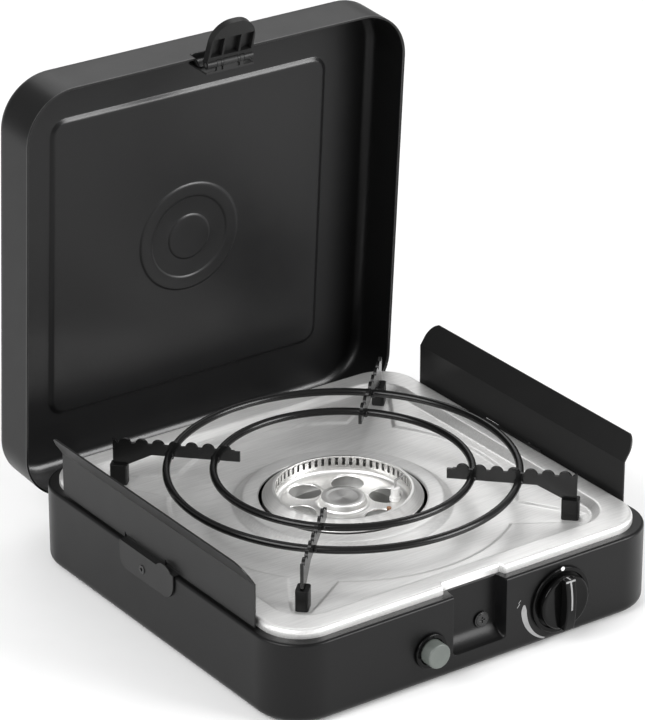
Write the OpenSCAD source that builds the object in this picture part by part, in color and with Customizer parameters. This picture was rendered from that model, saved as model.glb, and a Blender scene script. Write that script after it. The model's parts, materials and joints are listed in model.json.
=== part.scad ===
/* [Base] */
// Width and depth of the square base
base_w = 320; // [318:0.5:324]
// Height of the base from its underside to the rim
base_h = 60; // [60:0.5:62]
// Corner radius of the base seen from above
base_r = 34; // [32:1:36]
// Radius of the bottom edge of the base
base_fillet = 6; // [5:0.5:7]
// Radius of the rim edge of the base
rim_fillet = 2; // [1.6:0.1:2.4]
// Sheet thickness of the base
base_t = 1.5; // [1.2:0.1:1.5]
// Width of the ledge that carries the hob plate
ledge_w = 16; // [14:0.5:16]
// Height of the rubber feet
foot_h = 2; // [1.5:0.5:3]

/* [Hob plate] */
// Width and depth of the hob plate
plate_w = 306; // [304:0.5:306]
// Corner radius of the hob plate
plate_r = 30; // [28:1:32]
// Height of the plate border above the base rim
plate_rise = 6.5; // [6:0.1:7]
// Sheet thickness of the hob plate
plate_t = 1; // [0.8:0.1:1]
// Width of the flat border
border_w = 17; // [15:0.5:18]
// Radius of the burner hole
plate_hole_r = 59.6; // [59:0.1:61]

/* [Burner] */
// Outer radius of the burner ring
burner_r = 57.2; // [57:0.1:58]
// Radius of the burner mouth
mouth_r = 48; // [47.5:0.1:48]
// Number of slots in the wall of the mouth
slots = 60; // [40:2:72]
// Number of air holes in the burner floor
air_holes = 6; // [4:1:6]

/* [Pan support] */
// Wire diameter of the support rings
wire_d = 5.5; // [5:0.1:5.6]
// Centre-line radius of the outer ring
outer_ring_r = 124; // [122:0.5:124]
// Centre-line radius of the inner ring
inner_ring_r = 91; // [88:0.5:94]
// Thickness of the support arms
arm_t = 2.4; // [2:0.1:3]

/* [Lid] */
// Depth of the lid
lid_h = 41; // [40:0.5:42]
// Corner radius of the lid seen from above
lid_r = 38; // [36:1:40]
// Radius of the outer edge of the lid
lid_fillet = 8; // [7:0.5:9]
// Sheet thickness of the lid
lid_t = 1.2; // [1:0.1:1.2]
// Gap between the closed lid and the base rim
lid_gap = 1.5; // [1.5:0.1:1.8]
// Opening angle of the lid
lid_angle = 86.28; // [80:0.1:88]
// Angle of the latch from its locked position
latch_angle = 76.3; // [60:0.1:78]

/* [Windshields] */
// Length of each windshield
shield_l = 239; // [230:1:240]
// Height of the top edge above the base rim
shield_h = 49.5; // [46:0.5:50]
// Sheet thickness of the windshields
shield_t = 1.2; // [1:0.1:1.2]

/* [Controls] */
// Radius of the knob
knob_r = 20; // [19:0.5:20.5]
// Radius of the ignition button
button_r = 9; // [8.5:0.1:9]

/* [Hidden] */

$fn = 96;
eps = 0.02;          // clearance of a fixed joint
fit = 0.05;          // radial clearance of a running fit
half = base_w / 2;
plate_top = base_h + plate_rise;
field_z = base_h;    // top of the plate's inner field

// latch pocket in the front wall
pocket_x = 21.5;
pocket_depth = 10.5;
pocket_z = 15;

// hinge of the lid
hinge_y = half - 12.684;
hinge_z = base_h - 16.575;
hinge_x = 90;
hinge_pin_r = 2;
arm_w = 4;
lid_z = base_h + lid_gap;
lid_top = lid_z + lid_h;

// recess in the lid's front wall, for the hinge of the latch
recess_x = 21.5;
recess_depth = 7.5;

// hinge of the latch, on the closed lid
latch_y = -half + 3.6;
latch_z = base_h - 5.2;
latch_pin_r = 1.5;
latch_half = 19.2;
latch_l = 33.2;
barrel_r = 3.2;
rib_x = 6.2;
rib_t = 1.6;
knuckle_end = 11.3;
knuckles = [[-knuckle_end, -rib_x - rib_t - 0.2], [-rib_x + 0.2, rib_x - 0.2],
    [rib_x + rib_t + 0.2, knuckle_end]];

// raised panel in the middle of the lid
panel_half = 117;
panel_r = 12;
panel_step = 2;
panel_slope = 3;

// hinges of the windshields
shield_x = half - 3.2;
shield_z = base_h + 1.2;
shield_bend = base_h + 33;
shield_flare = 10.6;
shield_pin_x = half - 5.1;
shield_pin_z = base_h + 4.2;
shield_pin_r = 0.9;
shield_eye_r = 1.6;
bracket_y = [-28, 39];
eye_y = [-11.7, 22.7];
rivet_y = 10.6;
rivet_z = base_h - 10.4;
rivet_r = 2;

// gas valve, knob and ignition
valve_x = 68.4;
valve_z = 30.7;
valve_half = 9;
valve_y = [-146, -112];
valve_push = 3;
spindle_r = 3;
rod_r = 2;
pipe_r = 3;
bend_r = 7;
port_y = -132;
injector_y = port_y + bend_r;
injector_z = valve_z + 2 * bend_r;
inlet_x = 130;
inlet_y = 90;
inlet_r = 5;
piezo_x = -41.8;
piezo_z = 25.6;
piezo_travel = 5.5;
stem_r = 4;

// burner
pot_z = 35;
floor_z = 57;
pot_wall = 1.5;
slot_w = 2.2;
slot_h = 5.4;
air_hole_r = 11.5;
air_circle_r = 33;
air_start = 49;
electrode = [33.4, -16.6];
probe = [17.5, -31];

// pan support
ring_z = base_h + 25.3;
arm_in = 73.5;
arm_out = 165;
foot_in = 154.5;
foot_out = 167;
foot_top = base_h + 15.5;

foot_at = 125;       // rubber feet from the middle
wall_screw = 1.5;    // radius of the small screws

module stove(c) { color(c) translate([0, 0, foot_h]) children(); }

module open_lid() {
    translate([0, hinge_y, hinge_z]) rotate([-lid_angle, 0, 0])
        translate([0, -hinge_y, -hinge_z]) children();
}

module block(x, y, z) {
    translate([x[0], y[0], z[0]]) cube([x[1] - x[0], y[1] - y[0], z[1] - z[0]]);
}

module along_x(x, y, z, r) {
    translate([x[0], y, z]) rotate([0, 90, 0]) cylinder(h = x[1] - x[0], r = r);
}

module along_y(x, y, z, r) {
    translate([x, y[0], z]) rotate([-90, 0, 0]) cylinder(h = y[1] - y[0], r = r);
}

module along_z(x, y, z, r) {
    translate([x, y, z[0]]) cylinder(h = z[1] - z[0], r = r);
}

module both_sides() {
    children();
    mirror([1, 0, 0]) children();
}

module ring(r_in, r_out, z) {
    difference() {
        along_z(0, 0, z, r_out);
        along_z(0, 0, [z[0] - 1, z[1] + 1], r_in);
    }
}

// outline seen along X, drawn in Y and Z and made thick along X
module slab_x(x) {
    translate([x[0], 0, 0]) rotate([90, 0, 90]) linear_extrude(height = x[1] - x[0]) children();
}

// outline seen along Y, drawn in X and Z and made thick along Y
module slab_y(y) {
    translate([0, y[1], 0]) rotate([90, 0, 0]) linear_extrude(height = y[1] - y[0]) children();
}

module rounded_rect(w, d, r) {
    square([w - 2 * r, d], center = true);
    square([w, d - 2 * r], center = true);
    for (x = [-1, 1], y = [-1, 1])
        translate([x * (w / 2 - r), y * (d / 2 - r)]) circle(r = r);
}

// a profile carried round a square with round corners; the profile's X starts at the
// corner centres and its Y is the height
module swept_square(w, r) {
    run = w - 2 * r;
    for (a = [0:90:270]) rotate([0, 0, a]) {
        translate([run / 2, run / 2, 0]) rotate_extrude(angle = 90) children();
        translate([run / 2, run / 2, 0]) rotate([90, 0, 0]) linear_extrude(height = run) children();
    }
}

// solid block profile with a round lower and a round upper outer corner
module wall_profile(x_in, x_out, z, r_low, r_high) {
    translate([x_in, z[0] + r_low]) square([x_out - x_in, z[1] - z[0] - r_low - r_high]);
    translate([x_in, z[0]]) square([x_out - x_in - r_low, r_low + 0.01]);
    translate([x_in, z[1] - r_high - 0.01]) square([x_out - x_in - r_high, r_high + 0.01]);
    translate([x_out - r_low, z[0] + r_low]) circle(r = r_low);
    translate([x_out - r_high, z[1] - r_high]) circle(r = r_high);
}

// round wire through a list of points
module wire(points, r) {
    for (i = [0:len(points) - 2]) {
        a = points[i];
        d = points[i + 1] - a;
        l = norm(d);
        translate(a) rotate([0, acos(d[2] / l), atan2(d[1], d[0])]) cylinder(h = l, r = r, $fn = 24);
        if (i > 0) translate(a) sphere(r = r + 0.03, $fn = 24);
    }
}

// coil spring along +Y, one ring of points after another
module coil(r, wire_r, turns, l) {
    sides = 8;
    steps = 16 * turns;
    function place(i, k) = let (
        a = 360 * i * turns / steps,
        b = 360 * k / sides,
        q = r + wire_r * cos(b)
    ) [q * cos(a), wire_r + (l - 2 * wire_r) * i / steps + wire_r * sin(b), q * sin(a)];
    points = [for (i = [0:steps], k = [0:sides - 1]) place(i, k)];
    sides_faces = [for (i = [0:steps - 1], k = [0:sides - 1]) let (n = (k + 1) % sides)
        [i * sides + k, i * sides + n, (i + 1) * sides + n, (i + 1) * sides + k]];
    first = [for (k = [sides - 1:-1:0]) k];
    last = [for (k = [0:sides - 1]) steps * sides + k];
    polyhedron(points = points, faces = concat(sides_faces, [first, last]), convexity = 10);
}

module pipe_bend(r) { rotate_extrude(angle = 90) translate([bend_r, 0]) circle(r = r, $fn = 48); }

// ---- base ----

module pocket(grow) {
    depth = pocket_depth + grow;
    mid = pocket_z + pocket_depth;
    intersection() {
        union() {
            block([-pocket_x - grow, pocket_x + grow], [-half - 1, -half + depth], [mid, base_h + 1]);
            along_x([-pocket_x - grow, pocket_x + grow], -half, mid, depth);
        }
        block([-half, half], [-half, half], [0, base_h + (grow > 0 ? 0 : 1)]);
    }
}

module base_pan() {
    stove("#2c2c2d") difference() {
        union() {
            swept_square(base_w, base_r) difference() {
                wall_profile(base_r - ledge_w, base_r, [0, base_h], base_fillet, rim_fillet);
                wall_profile(-1, base_r - base_t, [base_t, base_h - base_t],
                    base_fillet - base_t, 0.5);
            }
            linear_extrude(height = base_t)
                rounded_rect(base_w - 2 * ledge_w, base_w - 2 * ledge_w, base_r - ledge_w);
            pocket(base_t);
        }
        pocket(0);
        block([-pocket_x, pocket_x], [-half - 1, -half + 0.5], [pocket_z + 3, base_h + 1]);
        along_y(valve_x, [-half - 1, -half + 3], valve_z, 9);
        along_y(piezo_x, [-half - 1, -half + 3], piezo_z, button_r + 0.4);
        along_x([half - 3, half + 1], inlet_y, valve_z, inlet_r + eps);
        along_y(8.5, [-half + 9, -half + 15], 29, 2 + 2 * eps);
        both_sides() {
            along_x([half - 3, half + 1], rivet_y, rivet_z, rivet_r + eps);
            block([hinge_x - 3, hinge_x + 3], [half - ledge_w - 1, half + 1], [31.5, base_h + 1]);
            for (y = [-foot_at, foot_at]) along_z(foot_at, y, [-1, base_t + 1], wall_screw + eps);
            for (y = [-5, 5]) along_z(67, y, [-1, base_t + 1], wall_screw + eps);
            for (y = [-30:20:30]) block([86, 112], [y - 2, y + 2], [-1, base_t + 1]);
        }
    }
}

module rubber_feet() {
    stove("#1a1a1a") for (x = [-foot_at, foot_at], y = [-foot_at, foot_at]) difference() {
        along_z(x, y, [-foot_h, 0], 10);
        along_z(x, y, [-foot_h - 1, -foot_h + 1], 4);
        along_z(x, y, [-foot_h - 1, 1], wall_screw + eps);
    }
}

module foot_screws() {
    stove("#9c9c9c") for (x = [-foot_at, foot_at], y = [-foot_at, foot_at]) {
        along_z(x, y, [-foot_h + 1 - 0.7, -foot_h + 1], 3);
        along_z(x, y, [-foot_h + 1, base_t + 2], wall_screw);
    }
}

module recess_screw() {
    stove("#8a8a8a") difference() {
        union() {
            along_y(8.5, [-half + pocket_depth - 2, -half + pocket_depth], 29, 4.75);
            along_y(8.5, [-half + pocket_depth - 1.5, -half + pocket_depth - 0.8], 29, 5.8);
            along_y(8.5, [-half + pocket_depth, -half + 15], 29, 2);
        }
        for (a = [0, 90]) translate([8.5, -half + pocket_depth - 2, 29]) rotate([0, a, 0])
            cube([4.6, 2, 1], center = true);
    }
}

// ---- hob plate ----

module plate_profile(t) {
    top = plate_top;
    out = plate_r;
    slope = 5;
    difference() {
        union() {
            translate([0, base_h]) square([out, plate_rise - 3]);
            translate([0, base_h]) square([out - 3, plate_rise]);
            translate([out - 3, top - 3]) circle(r = 3);
        }
        union() {
            translate([-1, base_h - 1]) square([out - t + 1, plate_rise - 2]);
            translate([-1, base_h - 1]) square([out - 3 + 1, plate_rise + 1 - t]);
            translate([out - 3, top - 3]) circle(r = 3 - t);
        }
        polygon([[-1, field_z - 2], [out - border_w - slope, field_z - 2],
            [out - border_w - slope, field_z], [out - border_w, top], [out - border_w, top + 1],
            [-1, top + 1]]);
    }
    polygon([[out - border_w - slope, field_z - t], [out - border_w - slope, field_z],
        [out - border_w, top], [out - border_w + 0.5, top], [out - border_w + 0.5, top - t],
        [out - border_w - slope + t, field_z - t]]);
}

module hob_plate() {
    inner = plate_w - 2 * (border_w + 5);
    notch_x = 24.5;
    notch_y = -half + pocket_depth + 1;
    stove("#b9b7b2") difference() {
        union() {
            swept_square(plate_w, plate_r) plate_profile(plate_t);
            difference() {
                translate([0, 0, field_z - plate_t]) linear_extrude(height = plate_t)
                    rounded_rect(inner, inner, plate_r - border_w - 5);
                along_z(0, 0, [field_z - 3, field_z + 1], 117);
            }
            rotate_extrude() polygon([[117, field_z - plate_t], [117, field_z], [78, field_z - 1.5],
                [71.3, field_z + 4], [plate_hole_r, field_z + 4],
                [plate_hole_r, field_z + 4 - plate_t], [70.9, field_z + 4 - plate_t],
                [77.6, field_z - 1.5 - plate_t]]);
        }
        block([-notch_x, notch_x], [-plate_w / 2 - 1, notch_y], [base_h - 2, plate_top + 1]);
    }
    stove("#b9b7b2") {
        block([-notch_x - plate_t, notch_x + plate_t], [notch_y, notch_y + plate_t],
            [base_h, plate_top - plate_t + 0.01]);
        both_sides() block([notch_x, notch_x + plate_t], [-plate_w / 2 + 0.5, notch_y + 0.01],
            [base_h, plate_top - plate_t + 0.01]);
    }
}

module plate_clips() {
    stove("#a8a6a1") for (a = [0, 90, 180]) rotate([0, 0, a]) {
        block([142.2, 143.4], [-9, 9], [base_h - 4, plate_top - plate_t]);
        block([143.4, 146.5], [-9, 9], [base_h - 4, base_h - 2.8]);
    }
}

// ---- burner ----

module burner_ring() {
    stove("#a09d98") rotate_extrude() polygon([[mouth_r, base_h + 9], [mouth_r + 1.4, base_h + 9],
        [burner_r - 1.4, base_h + 3.2], [burner_r - 1.4, base_h + 2.5], [burner_r, base_h + 2.5],
        [burner_r, base_h + 4], [mouth_r + 2, base_h + 10.5], [mouth_r, base_h + 10.5]]);
}

module burner_slot_ring() {
    stove("#85827d") difference() {
        ring(mouth_r, mouth_r + 1.2, [floor_z, base_h + 9]);
        for (i = [0:slots / 2 - 1]) rotate([0, 0, i * 360 / slots])
            translate([0, 0, base_h + 9]) cube([2 * mouth_r + 6, slot_w, 2 * slot_h], center = true);
    }
}

module burner_floor() {
    stove("#8d8a86") difference() {
        union() {
            along_z(0, 0, [floor_z - pot_wall, floor_z], mouth_r + 1.2);
            translate([0, 0, floor_z]) cylinder(h = 6.6, r1 = 20, r2 = 13.4);
        }
        translate([0, 0, floor_z - pot_wall - 0.01]) cylinder(h = 6.6, r1 = 19.5, r2 = 12.9);
        for (i = [0:air_holes - 1]) rotate([0, 0, air_start + i * 360 / air_holes])
            along_z(air_circle_r, 0, [floor_z - 3, floor_z + 1], air_hole_r);
        along_z(electrode[0], electrode[1], [floor_z - 3, floor_z + 1], 3.2 + eps);
    }
}

module burner_pot() {
    outer = burner_r - 0.2;
    inner = mouth_r + 1.2;
    stove("#8d8a86") difference() {
        rotate_extrude() {
            translate([outer - pot_wall, pot_z]) square([pot_wall, base_h + 2.5 - pot_z]);
            translate([inner - pot_wall, pot_z]) square([outer - inner + pot_wall, pot_wall]);
            translate([inner - pot_wall, pot_z]) square([pot_wall, floor_z - pot_wall - pot_z]);
        }
        along_y(0, [-60, -51.5], injector_z, 8 + eps);
    }
}

module burner_bracket() {
    stove("#5a5a5a") difference() {
        union() {
            block([-60, 60], [-10, 10], [pot_z - pot_wall, pot_z]);
            both_sides() {
                block([60, 61.5], [-10, 10], [base_t, pot_z]);
                block([61.5, 73], [-10, 10], [base_t, 2 * base_t]);
            }
        }
        along_z(0, 0, [pot_z - 3, pot_z + 1], 6);
        both_sides() for (y = [-5, 5]) along_z(67, y, [0, 5], wall_screw + eps);
    }
}

module bracket_screws() {
    stove("#9c9c9c") both_sides() for (y = [-5, 5]) {
        along_z(67, y, [-1.2, 0], 3);
        along_z(67, y, [0, 2 * base_t + 1.5], wall_screw);
    }
}

module mixing_tube() {
    stove("#9a9894") difference() {
        union() {
            along_y(0, [-110, -52], injector_z, 8);
            translate([0, -116, injector_z]) rotate([-90, 0, 0]) cylinder(h = 6, r1 = 11, r2 = 8);
        }
        along_y(0, [-111, -51], injector_z, 6.8);
        translate([0, -116.01, injector_z]) rotate([-90, 0, 0]) cylinder(h = 6, r1 = 9.8, r2 = 6.8);
    }
}

module injector() {
    stove("#b98d3c") difference() {
        union() {
            along_y(0, [injector_y, -114], injector_z, 4);
            along_y(0, [-114, -110], injector_z, 2);
            translate([0, injector_y + 2, injector_z]) rotate([90, 0, 0]) cylinder(h = 2, r = 5.6, $fn = 6);
        }
        along_y(0, [injector_y - 1, -112], injector_z, 1.2);
        along_y(0, [-113, -109], injector_z, 0.4);
    }
}

module injector_bracket() {
    stove("#5a5a5a") difference() {
        union() {
            block([-10, 10], [-120.5, -119], [base_t, injector_z + 8]);
            block([-10, 10], [-119, -107], [base_t, 2 * base_t]);
        }
        along_y(0, [-122, -118], injector_z, 4 + eps);
    }
}

// ---- gas ----

module gas_pipe_shape(r, more) {
    along_x([bend_r, valve_x - valve_half + more], port_y, valve_z, r);
    translate([bend_r, port_y, valve_z + bend_r]) rotate([90, 180, 0]) pipe_bend(r);
    translate([0, port_y + bend_r, valve_z + bend_r]) rotate([90, 0, -90]) pipe_bend(r);
    if (more > 0) along_y(0, [injector_y - 0.01, injector_y + more], injector_z, r);
}

module gas_pipe() {
    stove("#b5702f") difference() {
        gas_pipe_shape(pipe_r, 0);
        gas_pipe_shape(pipe_r - 0.8, 1);
    }
}

module inlet_pipe_shape(r, more) {
    along_x([valve_x + valve_half - more, inlet_x - bend_r], port_y, valve_z, r);
    translate([inlet_x - bend_r, port_y + bend_r, valve_z]) rotate([0, 0, -90]) pipe_bend(r);
    along_y(inlet_x, [port_y + bend_r, inlet_y - bend_r], valve_z, r);
    translate([inlet_x + bend_r, inlet_y - bend_r, valve_z]) rotate([0, 0, 90]) pipe_bend(r);
    along_x([inlet_x + bend_r, half - 13 + more], inlet_y, valve_z, r);
}

module inlet_pipe() {
    stove("#b5702f") difference() {
        inlet_pipe_shape(pipe_r, 0);
        inlet_pipe_shape(pipe_r - 0.8, 1);
    }
}

module gas_inlet() {
    stove("#b98d3c") difference() {
        union() {
            along_x([half - 13, half + 16], inlet_y, valve_z, inlet_r);
            translate([half, inlet_y, valve_z]) rotate([0, 90, 0]) cylinder(h = 3.5, r = 9, $fn = 6);
        }
        along_x([half - 14, half + 17], inlet_y, valve_z, 2.2);
        for (i = [0:7]) translate([half + 5 + 1.3 * i, inlet_y, valve_z]) rotate([0, 90, 0])
            difference() {
                cylinder(h = 0.6, r = inlet_r + 1);
                cylinder(h = 0.6, r = inlet_r - 0.4);
            }
    }
}

module inlet_nut() {
    stove("#c2bfb8") difference() {
        translate([half - base_t - 4, inlet_y, valve_z]) rotate([0, 90, 0]) cylinder(h = 4, r = 8.6, $fn = 6);
        along_x([half - 8, half], inlet_y, valve_z, inlet_r + eps);
    }
}

module valve_body() {
    stove("#b98d3c") difference() {
        union() {
            block([valve_x - valve_half, valve_x + valve_half], valve_y,
                [valve_z - valve_half, valve_z + valve_half]);
            along_y(valve_x, [-half + base_t, valve_y[0]], valve_z, 7);
        }
        along_y(valve_x, [-half, -131], valve_z, spindle_r + fit);
        along_y(valve_x, [-132, valve_y[1] + 1], valve_z, rod_r + fit);
        along_y(valve_x, [-129, -114], valve_z, 5);
        for (s = [-1, 1]) along_x(s > 0 ? [valve_x + 5, valve_x + valve_half + 1]
            : [valve_x - valve_half - 1, valve_x - 5], port_y, valve_z, 1.6);
    }
}

module valve_bracket() {
    stove("#5a5a5a") {
        block([valve_x - 7, valve_x + 7], [-130, -128.5], [2 * base_t, valve_z - valve_half]);
        block([valve_x - 7, valve_x + 7], [-140, -120], [base_t, 2 * base_t]);
    }
}

module magnet_unit() {
    stove("#c8a253") difference() {
        union() {
            along_y(valve_x, [valve_y[1], valve_y[1] + 18], valve_z, 8);
            along_y(valve_x, [valve_y[1] + 18, valve_y[1] + 25], valve_z, 5);
        }
        along_y(valve_x, [valve_y[1] - 1, valve_y[1] + 6], valve_z, 3);
    }
}

module valve_push_rod() {
    stove("#c9c7c2") {
        along_y(valve_x, [-136, -116], valve_z, rod_r);
        along_y(valve_x, [-128.7, -127.5], valve_z, 4.6);
    }
}

module valve_spring() { stove("#c9c7c2") translate([valve_x, -127.5, valve_z]) coil(3.4, 0.4, 5, 13.5); }

module valve_spindle() {
    stove("#c9c7c2") along_y(valve_x, [-half - 10, -136.3], valve_z, spindle_r);
}

module knob() {
    back = -half - 3.5;
    face = -half - 14;
    stove("#151516") difference() {
        union() {
            along_y(valve_x, [back - 4, back], valve_z, knob_r);
            intersection() {
                block([valve_x - 4.4, valve_x + 4.4], [face, back - 4], [0, base_h]);
                along_y(valve_x, [face, back - 4], valve_z, knob_r - 0.3);
            }
        }
        along_y(valve_x, [-half - 10, back + 1], valve_z, spindle_r + eps);
    }
}

module knob_bezel() {
    stove("#1a1a1b") difference() {
        along_y(valve_x, [-half - 2.4, -half], valve_z, knob_r + 4.5);
        along_y(valve_x, [-half - 3, -half + 1], valve_z, knob_r + 1);
    }
}

module thermocouple() {
    stove("#b5702f") {
        along_z(probe[0], probe[1], [44, base_h + 2], 1.6);
        along_z(probe[0], probe[1], [38, 44], 2.4);
    }
}

module thermocouple_lead() {
    stove("#b5702f") wire([[probe[0], probe[1], 38], [probe[0], probe[1], 22], [45, -66, 14],
        [valve_x, -72, 24], [valve_x, -79, valve_z], [valve_x, -87, valve_z]], 1);
}

module electrode_ceramic() {
    stove("#ecebe6") {
        along_z(electrode[0], electrode[1], [44, base_h + 7], 3.2);
        along_z(electrode[0], electrode[1], [floor_z, floor_z + 3], 4);
    }
}

module electrode_wire() {
    stove("#c9c7c2") wire([[electrode[0], electrode[1], base_h + 7],
        [electrode[0], electrode[1], base_h + 12.5],
        [electrode[0] + 6, electrode[1] - 1, base_h + 15]], 0.8);
}

module ignition_lead() {
    stove("#d8d5cc") wire([[electrode[0], electrode[1], 44], [electrode[0], electrode[1], 18],
        [5, -60, 8], [piezo_x, -85, 14], [piezo_x, -98, piezo_z], [piezo_x, -105, piezo_z]], 1.2);
}

module piezo_body() {
    front = -half + base_t;
    stove("#202021") difference() {
        union() {
            along_y(piezo_x, [front, front + 9], piezo_z, button_r + 2);
            along_y(piezo_x, [front + 9, -105], piezo_z, 7.5);
        }
        along_y(piezo_x, [front - 1, front + 7.5], piezo_z, button_r + 0.3);
        along_y(piezo_x, [front, front + 20], piezo_z, 6);
        along_y(piezo_x, [front, front + 28], piezo_z, stem_r + fit);
    }
}

module piezo_button() {
    stove("#8e948d") {
        along_y(piezo_x, [-half - 11, -half + 2.5], piezo_z, button_r);
        along_y(piezo_x, [-half + 2.5, -half + 22], piezo_z, stem_r);
    }
}

module piezo_spring() {
    stove("#c9c7c2") translate([piezo_x, -half + 2.5, piezo_z]) coil(5, 0.4, 5, 19);
}

module button_bezel() {
    stove("#1a1a1b") difference() {
        along_y(piezo_x, [-half - 2.5, -half], piezo_z, button_r + 4);
        along_y(piezo_x, [-half - 3, -half + 1], piezo_z, button_r + 0.4);
    }
}

// ---- windshields ----

module flap_outline() {
    y0 = bracket_y[0];
    y1 = bracket_y[1];
    low = base_h - 19;
    high = base_h + 0.15;
    translate([y0 + 12, low + 12]) circle(r = 12);
    translate([y1 - 8, low + 8]) circle(r = 8);
    translate([y0 + 12, low]) square([y1 - y0 - 20, high - low]);
    translate([y0, low + 12]) square([y1 - y0, high - low - 12]);
    translate([y0 + 12, low + 8]) square([y1 - y0 - 12, 4.01]);
}

module shield_bracket() {
    top = base_h + 0.15;
    stove("#2a2a2b") difference() {
        union() {
            slab_x([half + 0.3, half + 1.5]) flap_outline();
            block([shield_pin_x - 0.6, half + 1.5], bracket_y, [top, top + 1]);
            for (y = [[bracket_y[0], eye_y[0] - 0.3], [eye_y[1] + 0.3, bracket_y[1]]]) {
                block([shield_pin_x - 0.6, shield_pin_x + 0.6], y, [top, shield_pin_z]);
                along_y(shield_pin_x, y, shield_pin_z, shield_eye_r);
            }
        }
        along_y(shield_pin_x, [bracket_y[0], bracket_y[1]], shield_pin_z, shield_pin_r + eps);
        along_x([half, half + 2], rivet_y, rivet_z, rivet_r + eps);
    }
}

module shield_bracket_right() { shield_bracket(); }

module shield_bracket_left() { mirror([1, 0, 0]) shield_bracket(); }

module shield_rivets() {
    stove("#6a6a6a") both_sides() difference() {
        union() {
            along_x([half - base_t - 0.8, half + 1.5], rivet_y, rivet_z, rivet_r);
            along_x([half + 1.5, half + 2.1], rivet_y, rivet_z, rivet_r + 1.2);
            along_x([half - base_t - 0.8, half - base_t], rivet_y, rivet_z, rivet_r + 1.2);
        }
        along_x([half - base_t - 2, half + 3], rivet_y, rivet_z, 1.3);
    }
}

module shield_pins() {
    stove("#9c9c9c") both_sides()
        along_y(shield_pin_x, [bracket_y[0] + 1.2, bracket_y[1] - 1.2], shield_pin_z, shield_pin_r);
}

module windshield() {
    top = base_h + shield_h;
    rise = top - shield_bend;
    slope = atan2(shield_flare, rise);
    inner = shield_x - shield_t;
    tip = [shield_x + shield_flare - shield_t * cos(slope), top + shield_t * sin(slope)];
    corner = 12;
    stove("#333334") difference() {
        union() {
            intersection() {
                slab_y([-shield_l / 2, shield_l / 2]) polygon([[shield_x, shield_z],
                    [shield_x, shield_bend], [shield_x + shield_flare, top], tip,
                    [inner, shield_bend + shield_t * tan(slope / 2)], [inner, shield_z]]);
                slab_x([shield_x - 10, shield_x + 20]) {
                    translate([-shield_l / 2, base_h]) square([shield_l, shield_h - corner]);
                    translate([-shield_l / 2 + corner, base_h]) square([shield_l - 2 * corner, shield_h + 1]);
                    for (s = [-1, 1]) translate([s * (shield_l / 2 - corner), top + 1 - corner])
                        circle(r = corner);
                }
            }
            along_y(shield_pin_x, eye_y, shield_pin_z, shield_eye_r);
        }
        along_y(shield_pin_x, [eye_y[0] - 1, eye_y[1] + 1], shield_pin_z, shield_pin_r + fit);
        for (y = [[bracket_y[0] - 0.3, eye_y[0]], [eye_y[1], bracket_y[1] + 0.3]])
            block([shield_x - 5, shield_x + 5], y, [base_h, shield_pin_z + shield_eye_r + 0.3]);
    }
}

module windshield_right() { windshield(); }

module windshield_left() { mirror([1, 0, 0]) windshield(); }

// ---- lid ----

module hinge_brackets() {
    gap = arm_w / 2 + 0.4;
    stove("#5a5a5a") both_sides() difference() {
        union() for (s = [-1, 1]) {
            block(s > 0 ? [hinge_x + gap, hinge_x + gap + 1.6] : [hinge_x - gap - 1.6, hinge_x - gap],
                [hinge_y - 6, hinge_y + 6], [2 * base_t, hinge_z + 5.5]);
            block([hinge_x - gap - 1.6, hinge_x + gap + 1.6], [hinge_y - 6, hinge_y + 6],
                [base_t, 2 * base_t]);
        }
        along_x([hinge_x - 6, hinge_x + 6], hinge_y, hinge_z, hinge_pin_r + eps);
    }
}

module hinge_pins() {
    reach = arm_w / 2 + 2;
    stove("#9c9c9c") both_sides() {
        along_x([hinge_x - reach - 1, hinge_x + reach + 1], hinge_y, hinge_z, hinge_pin_r);
        along_x([hinge_x + reach, hinge_x + reach + 1], hinge_y, hinge_z, hinge_pin_r + 1);
        along_x([hinge_x - reach - 1, hinge_x - reach], hinge_y, hinge_z, hinge_pin_r + 1);
    }
}

module lid_recess(grow) {
    side = recess_x + grow;
    depth = recess_depth + grow;
    intersection() {
        union() {
            block([-side, side], [-half - 1, -half + depth], [lid_z - 1, lid_z + 0.5]);
            along_x([-side, side], -half, lid_z + 0.5, depth);
        }
        block([-half, half], [-half - (grow > 0 ? 0 : 1), half], [grow > 0 ? lid_z : 0, lid_top]);
    }
}

module lid_shell() {
    inset = 16;
    stove("#2c2c2d") open_lid() difference() {
        union() {
            swept_square(base_w, lid_r) difference() {
                wall_profile(lid_r - inset, lid_r, [lid_z - 1, lid_top], 0.5, lid_fillet);
                wall_profile(-1, lid_r - lid_t, [lid_z - 3, lid_top - lid_t], 0.5, lid_fillet - lid_t);
                translate([0, lid_z - 2]) square([lid_r + 1, 2]);
            }
            translate([0, 0, lid_top - lid_t]) linear_extrude(height = lid_t)
                rounded_rect(base_w - 2 * inset, base_w - 2 * inset, lid_r - inset);
            translate([0, 0, lid_top - lid_t - panel_step])
                linear_extrude(height = lid_t + panel_step)
                rounded_rect(2 * panel_half, 2 * panel_half, panel_r);
            lid_recess(lid_t);
        }
        translate([0, 0, lid_top - panel_step]) linear_extrude(height = panel_step + 1)
            rounded_rect(2 * (panel_half - panel_slope), 2 * (panel_half - panel_slope),
                panel_r - panel_slope);
        lid_recess(0);
        both_sides() for (x = [hinge_x - 5.5, hinge_x + 5.5])
            along_y(x, [half - 3, half + 1], lid_z + 15, wall_screw + eps);
    }
}

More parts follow.
